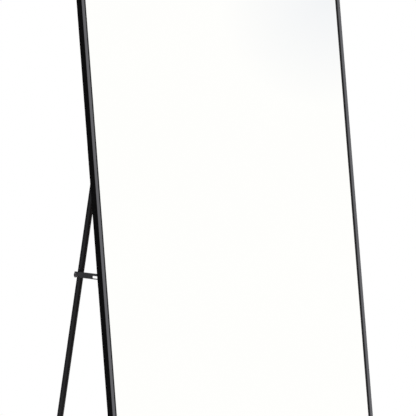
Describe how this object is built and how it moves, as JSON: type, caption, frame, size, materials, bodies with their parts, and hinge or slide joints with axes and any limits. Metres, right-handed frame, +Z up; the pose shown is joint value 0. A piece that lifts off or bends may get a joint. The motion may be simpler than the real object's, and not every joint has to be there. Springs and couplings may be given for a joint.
{
  "type": "full-length mirror",
  "caption": "Tall free-standing mirror in a thin black metal frame, leaning back on a U-shaped tube stand that folds flat, held open by a slotted hook-on stay at each side.",
  "frame": {"origin": "on the floor, under the middle of the mirror's box standing open", "axes": "+X to the viewer's right across the mirror, +Y from the front to the back, +Z up"},
  "size_m": [0.559, 0.5078, 1.6318],
  "materials": {
    "anodised_aluminium": "black anodised, satin",
    "mirror_glass": "silvered float glass",
    "film": "grey vinyl safety film",
    "foam": "white foam sheet",
    "board": "dark hardboard",
    "gasket": "matt black",
    "zinc_steel": "zinc plated",
    "black_screws": "black oxide",
    "black_steel": "satin black powder coat",
    "hardware": "dark nickel plated",
    "rubber": "matt black rubber",
    "painted_tube": "satin black powder coat",
    "plug_plastic": "moulded black polyethylene",
    "nylon": "natural nylon"
  },
  "bodies": {
    "mirror": {"left_stile": "anodised_aluminium", "right_stile": "anodised_aluminium", "top_rail": "anodised_aluminium", "bottom_rail": "anodised_aluminium", "corner_keys": "zinc_steel", "corner_screws": "black_screws", "mirror_glass": "mirror_glass", "glazing_gasket": "gasket", "setting_blocks": "gasket", "safety_film": "film", "foam_sheet": "foam", "backing_board": "board", "board_springs": "zinc_steel", "nut_plates": "zinc_steel", "left_hinge_bracket": "black_steel", "right_hinge_bracket": "black_steel", "bracket_screws": "black_screws", "left_hinge_bolt": "hardware", "right_hinge_bolt": "hardware", "hinge_nuts": "hardware", "left_stay_lug": "black_steel", "right_stay_lug": "black_steel", "lug_screws": "black_screws", "left_stay_pin": "hardware", "right_stay_pin": "hardware", "left_floor_pad": "rubber", "right_floor_pad": "rubber"},
    "stand": {"left_leg_arm": "painted_tube", "right_leg_arm": "painted_tube", "left_foot_bend": "painted_tube", "right_foot_bend": "painted_tube", "foot_bar": "painted_tube", "arm_plugs": "plug_plastic", "joint_rivets": "hardware", "hinge_bushes": "nylon", "hinge_washers": "nylon", "left_leg_stud": "hardware", "right_leg_stud": "hardware", "stud_spacers": "hardware", "left_foot_sleeve": "rubber", "right_foot_sleeve": "rubber"},
    "left_stay": {"left_stay": "black_steel"},
    "right_stay": {"right_stay": "black_steel"}
  },
  "joints": [
    {"name": "stand_fold", "type": "hinge", "parent": "mirror", "child": "stand", "pos_m": [0, -0.06044, 0.90603], "axis": [1, 0, 0], "range_deg": [-28.8, 0]},
    {"name": "left_stay_swing", "type": "hinge", "parent": "mirror", "child": "left_stay", "pos_m": [-0.26725, -0.09954, 0.69003], "axis": [1, 0, 0], "range_deg": [0, 82]},
    {"name": "right_stay_swing", "type": "hinge", "parent": "mirror", "child": "right_stay", "pos_m": [0.26725, -0.09954, 0.69003], "axis": [1, 0, 0], "range_deg": [0, 82]}
  ]
}
